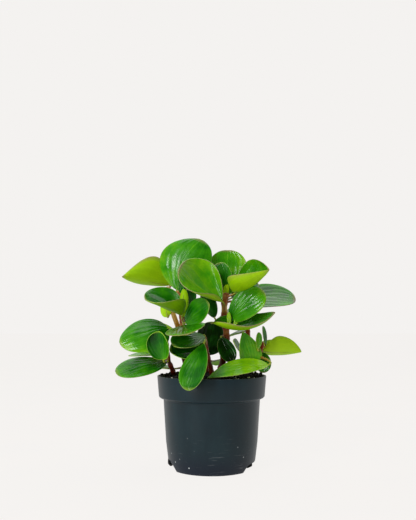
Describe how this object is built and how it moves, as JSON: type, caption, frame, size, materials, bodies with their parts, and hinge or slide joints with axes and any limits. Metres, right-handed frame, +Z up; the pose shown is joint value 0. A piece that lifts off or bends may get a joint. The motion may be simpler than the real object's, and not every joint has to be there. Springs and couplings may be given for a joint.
{
  "type": "potted peperomia",
  "caption": "Bushy houseplant with thick, cupped oval leaves on short stems, growing from dark soil in a round ribless nursery pot with a deep rim",
  "frame": {"origin": "on the pot's axis at the level of the surface it stands on, below the middle of the whole plant", "axes": "+Z up, -Y towards the front from which the plant is seen in the picture, +X to the right in the picture"},
  "size_m": [0.2027, 0.1576, 0.2545],
  "materials": {
    "pot_plastic": "smooth satin, dark slate grey",
    "soil": "rough, crumbly, dark peat",
    "leaf": "glossy, fleshy, green"
  },
  "bodies": {
    "root": {"pot": "pot_plastic", "soil": "soil", "shoot_upper_left": "leaf", "shoot_left_back": "leaf", "shoot_centre": "leaf", "shoot_left_low": "leaf", "shoot_centre_low": "leaf", "shoot_right_low": "leaf", "shoot_back_left": "leaf", "shoot_back_right": "leaf", "shoot_back_centre": "leaf"}
  },
  "joints": []
}
